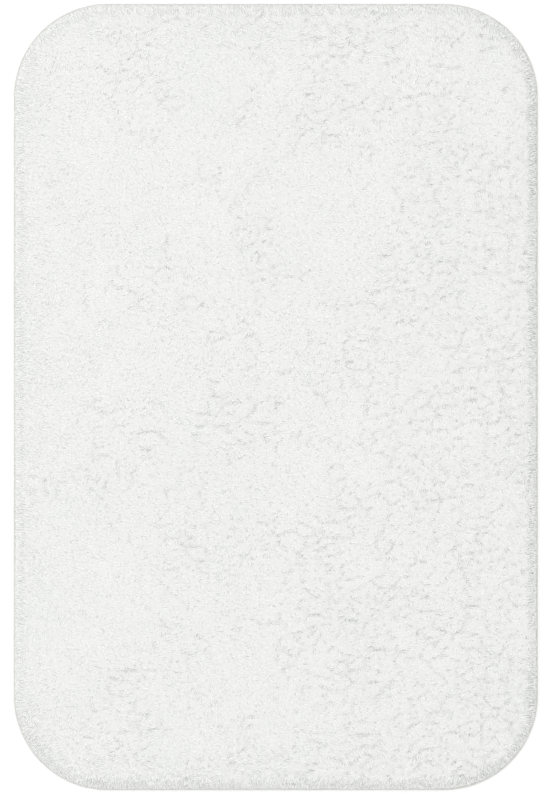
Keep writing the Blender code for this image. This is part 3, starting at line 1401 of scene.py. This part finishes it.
@dataclass
class Binding:
    """The tape that is folded round the edge, and the lockstitches that hold it.

    Attributes:
        plan: The mat's plan.
        low: The height of the tape's lower face.
        high: The height of its upper face.
        needle_z: The middle of the upper thread's height.
        bobbin_z: The middle of the lower thread's height.
        reach: How far inside the edge the tape ends.
        thick: Its thickness.
        seam: How far inside the edge the stitches run.
        stitch: The distance between stitches.
        thread: The thread's radius.
        dip: How far a stitch's ends lie inwards of its thread's middle height.
        rise: How far its middle is drawn outwards of that height.
        pucker: How deep the stitches draw the tape in.
    """

    plan: MatPlan
    low: float
    high: float
    needle_z: float
    bobbin_z: float
    reach: float = 12 * MM
    thick: float = 0.7 * MM
    seam: float = 8 * MM
    stitch: float = 3.2 * MM
    thread: float = 0.24 * MM
    dip: float = 0.35 * MM
    rise: float = 0.28 * MM
    pucker: float = 0.11 * MM

    def build(self, inner: bpy.types.Object) -> None:
        """Makes the tape and both threads.

        Args:
            inner: The cloth that the tape is folded round; not used.
        """
        thread = ThreadFinish("hem_thread", (0.70, 0.70, 0.68), (0.87, 0.87, 0.86)).make()
        rows = [
            self.stitches("needle_stitches", self.needle_z, Side.TOP),
            self.stitches("bobbin_stitches", self.bobbin_z, Side.BOTTOM),
        ]
        for row, node in zip(rows, ("needle_thread", "bobbin_thread")):
            Workshop.dress(row, thread, "hem_thread", node)
        tape = self.tape()
        between, threads = (0.78, 0.775, 0.75), (0.90, 0.895, 0.87)
        finish = ClothFinish("binding_tape", between, threads, 0.42 * MM, WEAVE_MAP).make()
        Workshop.dress(tape, finish, "binding_tape", "edge_binding")
        flat = (self.plan.perimeter(self.reach / 2), 2 * self.reach + self.high - self.low - 2 * self.thick)

    def tape(self) -> bpy.types.Object:
        """The tape: a narrow woven strip, folded to a C and carried round the outline.

        Returns:
            The new object.
        """
        mesh = bmesh.new()
        half_x, half_y = self.plan.halves()
        edge = half_x + self.plan.radius - self.thick / 2
        top, base = self.high - self.thick / 2, self.low + self.thick / 2
        fold_radius = (top - base) * 0.42
        legs = (self.reach, self.seam + MM, self.seam, self.seam - MM, 3 * MM)
        upper = [(edge - inset, top) for inset in legs]
        lower = [(edge - inset, base) for inset in reversed(legs)]
        fold = [
            (edge - fold_radius + fold_radius * math.cos(turn), height + fold_radius * math.sin(turn))
            for height, turns in ((top - fold_radius, (90, 54, 18)), (base + fold_radius, (-18, -54, -90)))
            for turn in map(math.radians, turns)
        ]
        section = [mesh.verts.new((x, -half_y, z)) for x, z in upper + fold + lower]
        section += [mesh.edges.new(pair) for pair in zip(section, section[1:])]
        self.plan.sweep(mesh, section, self.stitch / 2, 52)
        bmesh.ops.recalc_face_normals(mesh, faces=mesh.faces)
        for corner in mesh.verts:
            corner.normal_update()
        bmesh.ops.solidify(mesh, geom=mesh.faces[:], thickness=self.thick)
        bmesh.ops.recalc_face_normals(mesh, faces=mesh.faces)
        obj = Workshop.place("binding_tape", mesh)
        self.finish_tape(obj)
        return obj

    def finish_tape(self, tape: bpy.types.Object) -> None:
        """Centres the tape on its place, puckers it along the seam and lays its weave on it.

        Args:
            tape: The tape.
        """
        points = Workshop.points(tape)
        middle = (self.high + self.low) / 2
        halves = np.array([self.plan.width, self.plan.length]) / 2
        points[:, :2] *= halves / np.abs(points[:, :2]).max(axis=0)
        points[:, 2] += middle - (points[:, 2].max() + points[:, 2].min()) / 2
        inset = self.plan.inset(points[:, :2])
        travel = self.plan.travel(points[:, :2])
        waves = round(self.plan.perimeter(self.seam) / self.stitch)
        total = self.plan.perimeter(0.0)
        near = np.exp(-(((inset - self.seam) / (2.5 * MM)) ** 2))
        side = np.where(points[:, 2] > middle, -1.0, 1.0)
        points[:, 2] += side * self.pucker * near * (0.5 + 0.5 * np.cos(travel * math.tau * waves / total))
        Workshop.move(tape, points)
        across = (points[:, 2] - middle) - side * inset
        corner = np.empty(len(tape.data.loops), np.int32)
        tape.data.loops.foreach_get("vertex_index", corner)
        places = np.stack([travel, across], axis=1)[corner]
        size = np.empty(len(tape.data.polygons), np.int32)
        tape.data.polygons.foreach_get("loop_total", size)
        start = np.repeat(np.concatenate([[0], np.cumsum(size)[:-1]]), size)
        jump = places[:, 0] - places[start, 0]
        places[:, 0] -= total * np.round(jump / total)
        tape.data.uv_layers.new(name=WEAVE_MAP).uv.foreach_set("vector", places.astype(np.float32).ravel())
        tape.data.shade_smooth()

    def stitches(self, name: str, height: float, side: Side) -> bpy.types.Object:
        """One side's row of lockstitches.

        Args:
            name: The piece's name.
            height: The middle of the thread's height.
            side: The side of the mat that the stitches lie on.

        Returns:
            The new object.
        """
        places, ways = self.plan.stations(self.seam, self.stitch)
        foot = height - side.value * self.dip
        crown = height + side.value * self.rise
        row = StitchRow(0.46 * self.stitch, self.thread, foot, crown, side, side.value + 2)
        return row.make(name, places, ways)


@dataclass
class Layers:
    """The flat layers between the pile and the grip: tufted cloth, latex and backing cloth.

    Attributes:
        plan: The mat's plan.
        inset: How far inside the edge the cloths end.
        softening: How far their rims are rounded off.
    """

    plan: MatPlan
    inset: float
    softening: float = 0.2 * MM

    def build(self) -> bpy.types.Object:
        """Makes the two cloths and dresses the latex between them.

        Returns:
            The backing cloth, which the edge tape is folded round.
        """
        latex = RubberFinish("latex", (0.66, 0.62, 0.53), (0.79, 0.76, 0.69), 0.7).make()
        latex_layer = bpy.data.objects["latex_layer"]
        for place in latex_layer.material_slots:
            place.material = latex
        cloths = []
        for name, node, slot, thread in (
            ("tufted_scrim", "primary_backing", "tufted_cloth", 1.1 * MM),
            ("backing_weave", "secondary_backing", "backing_cloth", 1.6 * MM),
        ):
            low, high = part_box(node)
            cloth = Workshop.place(name, self.plan.layer(self.inset, low.z, high.z, self.softening))
            finish = ClothFinish(slot, (0.50, 0.46, 0.38), (0.74, 0.71, 0.64), thread).make()
            Workshop.dress(cloth, finish, slot, node)
            cloths.append(cloth)
        return cloths[-1]


@dataclass
class GripSole:
    """The rubber back: a thin film, broad round studs, and small dots between them.

    Attributes:
        plan: The mat's plan.
        film_inset: How far inside the edge the film ends.
        film_low: The height of its lower face.
        film_high: The height of its upper face.
        label_middle: The middle of the care label.
        label_half: Half the label's size.
        softening: How far the film's rims are rounded off.
        pitch: The distance between studs.
        radius: A stud's radius.
        margin: The least distance of a stud from the edge.
        clearance: The least distance of a stud from the label.
        stud_profile: The places of a stud's rings from its foot up, and their radii.
        dot_pitch: The distance between dots.
        dot_radius: A dot's radius.
        dot_height: How far a dot stands out of the film.
        dot_margin: The least distance of a dot from the film's rim.
        dot_clearance: The least distance of a dot from the label.
        dot_profile: The places of a dot's rings from its foot up, and their radii.
        rooting: How deep studs and dots reach into the film.
    """

    plan: MatPlan
    film_inset: float
    film_low: float
    film_high: float
    label_middle: tuple[float, float]
    label_half: tuple[float, float]
    softening: float = 0.25 * MM
    pitch: float = 50 * MM
    radius: float = 6 * MM
    margin: float = 22 * MM
    clearance: float = 4 * MM
    stud_profile: Profile = (
        (0.0, 0.66), (0.05, 0.76), (0.30, 0.84), (0.75, 0.92), (0.94, 1.06), (1.0, 1.06)
    )
    dot_pitch: float = 10.5 * MM
    dot_radius: float = 1.5 * MM
    dot_height: float = 0.6 * MM
    dot_margin: float = 3 * MM
    dot_clearance: float = 2 * MM
    dot_profile: Profile = ((0.0, 0.42), (0.25, 0.80), (1.0, 1.0))
    rooting: float = 0.2 * MM

    def build(self) -> None:
        """Makes the film, the studs and the dots."""
        rubber = RubberFinish("grip_rubber", (0.60, 0.59, 0.56), (0.72, 0.71, 0.68), 0.62).make()
        sheet = self.plan.layer(self.film_inset, self.film_low, self.film_high, self.softening)
        film = Workshop.place("grip_film", sheet)
        Workshop.dress(film, rubber, "grip_rubber", "grip_coating")
        studs = self.grid(self.pitch, self.margin, self.radius + self.clearance)
        self.stand("grip_studs", rubber, studs, 0.0, self.radius, Strand(16, self.stud_profile))
        dots = self.grid(self.dot_pitch, self.film_inset + self.dot_margin, self.dot_clearance)
        gaps = np.linalg.norm(dots[:, None, :] - studs[None, :, :], axis=2).min(axis=1)
        dots = dots[gaps > self.radius + self.dot_radius + MM]
        foot = self.film_low - self.dot_height
        self.stand("grip_dots", rubber, dots, foot, self.dot_radius, Strand(6, self.dot_profile))

    def grid(self, pitch: float, margin: float, clearance: float) -> np.ndarray:
        """Staggered places that stay clear of the hem and the label.

        Args:
            pitch: The distance between neighbours in a row; rows are half as far apart.
            margin: The least distance from the edge.
            clearance: The least distance from the label.

        Returns:
            The places, as rows.
        """
        row = pitch / 2
        count = np.ceil(np.array([self.plan.width / pitch, self.plan.length / row]) / 2).astype(int)
        column, line = np.meshgrid(np.arange(-count[0], count[0] + 1), np.arange(-count[1], count[1] + 1))
        places = np.stack([(column + 0.5 * (line % 2)) * pitch, line * row], axis=-1).reshape(-1, 2)
        places = places[self.plan.inset(places) > margin]
        near = np.abs(places - self.label_middle) < np.array(self.label_half) + clearance
        return places[~near.all(axis=1)]

    def stand(
        self,
        name: str,
        rubber: bpy.types.Material,
        places: np.ndarray,
        foot: float,
        radius: float,
        shape: Strand,
    ) -> None:
        """Stands one round shape at every place, rooted in the film.

        Args:
            name: The piece's name.
            rubber: Its finish.
            places: Where the shapes stand, as rows.
            foot: The height of their feet.
            radius: Their radius.
            shape: The shape, of unit size.
        """
        count = len(places)
        low = np.column_stack([places, np.full(count, foot)])
        high = np.column_stack([places, np.full(count, self.film_low + self.rooting)])
        face = np.tile((0.0, 1.0, 0.0), (count, 1))
        size = np.full(count, radius)
        route = Route(low, (low + high) / 2, high, face, size, size)
        piece = Repeat(shape).make(name, route, np.full(count, 0.5))
        Workshop.dress(piece, rubber, "grip_rubber", "grip_coating")


@dataclass
class CareLabel:
    """The blank satin label on the underside, and the stitches along its sewn edge.

    Attributes:
        low: The lowest corner of its place.
        high: The highest corner of its place.
        seam_y: Where its stitches are along Y.
        seam_z: The middle of their height.
        seam_width: The length of the row.
        thick: The label's thickness.
        stitch: The distance between stitches.
        sag: How far its free end hangs.
        waves: How many times the free end waves across the label.
        thread: The thread's radius.
    """

    low: Vector
    high: Vector
    seam_y: float
    seam_z: float
    seam_width: float
    thick: float = 0.3 * MM
    stitch: float = 2.6 * MM
    sag: float = 0.45 * MM
    waves: float = 1.5
    thread: float = 0.22 * MM

    def build(self) -> None:
        """Makes the label and its row of stitches."""
        thread = ThreadFinish("label_stitches", (0.70, 0.70, 0.69), (0.86, 0.87, 0.86)).make()
        row = self.stitches()
        Workshop.dress(row, thread, "label_stitches", "label_thread")
        label = self.label()
        between, threads = (0.76, 0.77, 0.76), (0.88, 0.89, 0.88)
        finish = ClothFinish("label_satin", between, threads, 0.22 * MM, gloss=0.7).make()
        Workshop.dress(label, finish, "label_satin", "care_label")

    def label(self) -> bpy.types.Object:
        """The label: sewn flat at its outer edge, with its free end hanging a little.

        Returns:
            The new object.
        """
        size = self.high - self.low
        middle = (self.high + self.low) / 2
        mesh = bmesh.new()
        bmesh.ops.create_grid(mesh, x_segments=30, y_segments=18, size=0.5)
        bmesh.ops.scale(mesh, vec=(size.x, size.y, 1.0), verts=mesh.verts)
        bmesh.ops.translate(mesh, vec=(0, middle.y, self.high.z - self.thick / 2), verts=mesh.verts)
        tips = [corner for corner in mesh.verts if corner.is_boundary and len(corner.link_edges) == 2]
        bmesh.ops.smooth_vert(mesh, verts=tips, factor=0.5, use_axis_x=True, use_axis_y=True)
        bmesh.ops.solidify(mesh, geom=mesh.faces[:], thickness=self.thick)
        bmesh.ops.recalc_face_normals(mesh, faces=mesh.faces)
        obj = Workshop.place("care_label_satin", mesh)
        points = Workshop.points(obj)
        points[:, 2] += self.high.z - points[:, 2].max()
        free = smooth(0.25, 1.0, (points[:, 1] - self.low.y) / size.y)
        wave = 0.5 - 0.5 * np.cos(points[:, 0] / size.x * math.tau * self.waves)
        points[:, 2] -= self.sag * free * (0.45 + 0.55 * wave)
        Workshop.move(obj, points)
        obj.data.shade_smooth()
        return obj

    def stitches(self) -> bpy.types.Object:
        """The straight row of stitches through the label.

        Returns:
            The new object.
        """
        count = round(self.seam_width / self.stitch)
        xs = (np.arange(count) - (count - 1) / 2) * self.stitch
        places = np.column_stack([xs, np.full(count, self.seam_y)])
        foot = self.low.z + 0.1 * MM
        row = StitchRow(0.45 * self.stitch, self.thread, foot, 2 * self.seam_z - foot, Side.BOTTOM, 3)
        return row.make("label_stitch_row", places, np.tile((1.0, 0.0), (count, 1)))


@dataclass
class Studio:
    """A white floor, soft light from the upper left and a camera straight above.

    Attributes:
        plan: The mat's plan.
        lens: The camera's focal length, in millimetres.
        sensor: The width of its sensor, in millimetres.
        frame_width: The picture's width.
        frame_height: The picture's height.
        mat_share: The mat's share of that width.
        rim_z: The height of the mat's outline, where that share is measured.
        shift_x: How far the camera stands beside the mat's middle.
        floor_half: Half the floor's size.
        floor_gap: How far the floor lies under the mat.
        floor_grey: The floor's colour.
        floor_glow: How much the floor shines by itself.
        sky: The strength of the sky's light.
        lamp_place: Where the lamp stands; it points at the mat's middle.
        lamp_size: The lamp's side.
        lamp_watts: Its power.
        lamp_colour: Its colour.
    """

    plan: MatPlan
    lens: float = 400.0
    sensor: float = 36.0
    frame_width: int = 550
    frame_height: int = 794
    mat_share: float = 524.3 / 550
    rim_z: float = 4.5 * MM
    shift_x: float = -0.76 * MM
    floor_half: float = 6.0
    floor_gap: float = 0.05 * MM
    floor_grey: Colour = (0.92, 0.92, 0.92)
    floor_glow: float = 0.18
    sky: float = 1.055
    lamp_place: tuple[float, float, float] = (-2.4, 1.3, 1.5)
    lamp_size: float = 3.0
    lamp_watts: float = 16.0
    lamp_colour: Colour = (1.0, 0.99, 0.975)

    def build(self) -> None:
        """Makes the floor, the lights and the camera."""
        self.floor()
        self.lights()
        self.camera()
        bpy.context.scene.view_settings.view_transform = "Standard"

    def floor(self) -> None:
        """A large plain floor, a hair under the mat."""
        mesh = bmesh.new()
        bmesh.ops.create_grid(mesh, x_segments=4, y_segments=4, size=self.floor_half)
        bmesh.ops.translate(mesh, vec=(0, 0, -self.floor_gap), verts=mesh.verts)
        floor = Workshop.place("floor", mesh)
        bench = Bench("studio_floor")
        bench.shader.inputs["Base Color"].default_value = (*self.floor_grey, 1.0)
        bench.shader.inputs["Roughness"].default_value = 0.9
        bench.shader.inputs["Emission Color"].default_value = (*WHITE, 1.0)
        bench.shader.inputs["Emission Strength"].default_value = self.floor_glow
        floor.data.materials.append(bench.material)
        floor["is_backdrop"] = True

    def lights(self) -> None:
        """An even white sky and one broad lamp at the upper left."""
        world = bpy.data.worlds.new("studio_air")
        bpy.context.scene.world = world
        world.use_nodes = True
        sky = world.node_tree.nodes["Background"]
        sky.inputs["Color"].default_value = (*WHITE, 1.0)
        sky.inputs["Strength"].default_value = self.sky
        lamp = bpy.data.lights.new("broad_lamp", "AREA")
        lamp.shape = "SQUARE"
        lamp.size = self.lamp_size
        lamp.energy = self.lamp_watts
        lamp.color = self.lamp_colour
        holder = bpy.data.objects.new("broad_lamp", lamp)
        holder.location = self.lamp_place
        holder.rotation_euler = (-holder.location).to_track_quat("-Z", "Y").to_euler()
        bpy.context.scene.collection.objects.link(holder)

    def camera(self) -> None:
        """A long lens straight above the mat, far enough off for the mat to fill its share."""
        view = bpy.data.cameras.new("overhead")
        view.lens = self.lens
        view.sensor_width = self.sensor
        view.sensor_fit = "AUTO"
        seen = self.plan.width / self.mat_share * self.frame_height / self.frame_width
        distance = seen * self.lens / self.sensor
        view.clip_end = distance * 2
        holder = bpy.data.objects.new("overhead", view)
        holder.location = (self.shift_x, 0, self.rim_z + distance)
        bpy.context.scene.collection.objects.link(holder)
        bpy.context.scene.camera = holder


def corners(box: tuple[Vector, Vector]) -> list[list[float]]:
    """A box as plain lists of numbers."""
    return [list(map(float, corner)) for corner in box]


def main() -> None:
    """Builds the mat around its frame, piece by piece."""
    logging.basicConfig(level=logging.INFO, format="%(message)s")
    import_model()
    cad_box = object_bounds()
    low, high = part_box("edge_binding")
    width, length = high.x - low.x, high.y - low.y
    plan = MatPlan(width, length, CORNER_SHARE * width)
    pile_low, pile_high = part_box("pile")
    needle_low, needle_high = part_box("needle_thread")
    bobbin_low, bobbin_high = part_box("bobbin_thread")
    form = PileForm(plan, PILE_SETBACK, PILE_SHOULDER, needle_high.z + PILE_LIFT, pile_high.z)
    Pile(form, PileLie(form), pile_low.z, CORE_FOOT_INSET, high.z + TUFT_CLEARANCE).build()
    backing = Layers(plan, high.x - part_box("primary_backing")[1].x).build()
    needle_z = (needle_low.z + needle_high.z) / 2
    bobbin_z = (bobbin_low.z + bobbin_high.z) / 2
    Binding(plan, low.z, high.z, needle_z, bobbin_z).build(backing)
    film_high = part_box("grip_coating")[1]
    label_low, label_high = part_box("care_label")
    middle, half = (label_low + label_high) / 2, (label_high - label_low) / 2
    GripSole(
        plan, high.x - film_high.x, low.z, film_high.z, (middle.x, middle.y), (half.x, half.y)
    ).build()
    seam_low, seam_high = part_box("label_thread")
    seam = (seam_low + seam_high) / 2
    CareLabel(label_low, label_high, seam.y, seam.z, seam_high.x - seam_low.x).build()
    Studio(plan).build()
    {"cad": corners(cad_box), "visual": corners(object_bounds())}


if __name__ == "__main__":
    main()
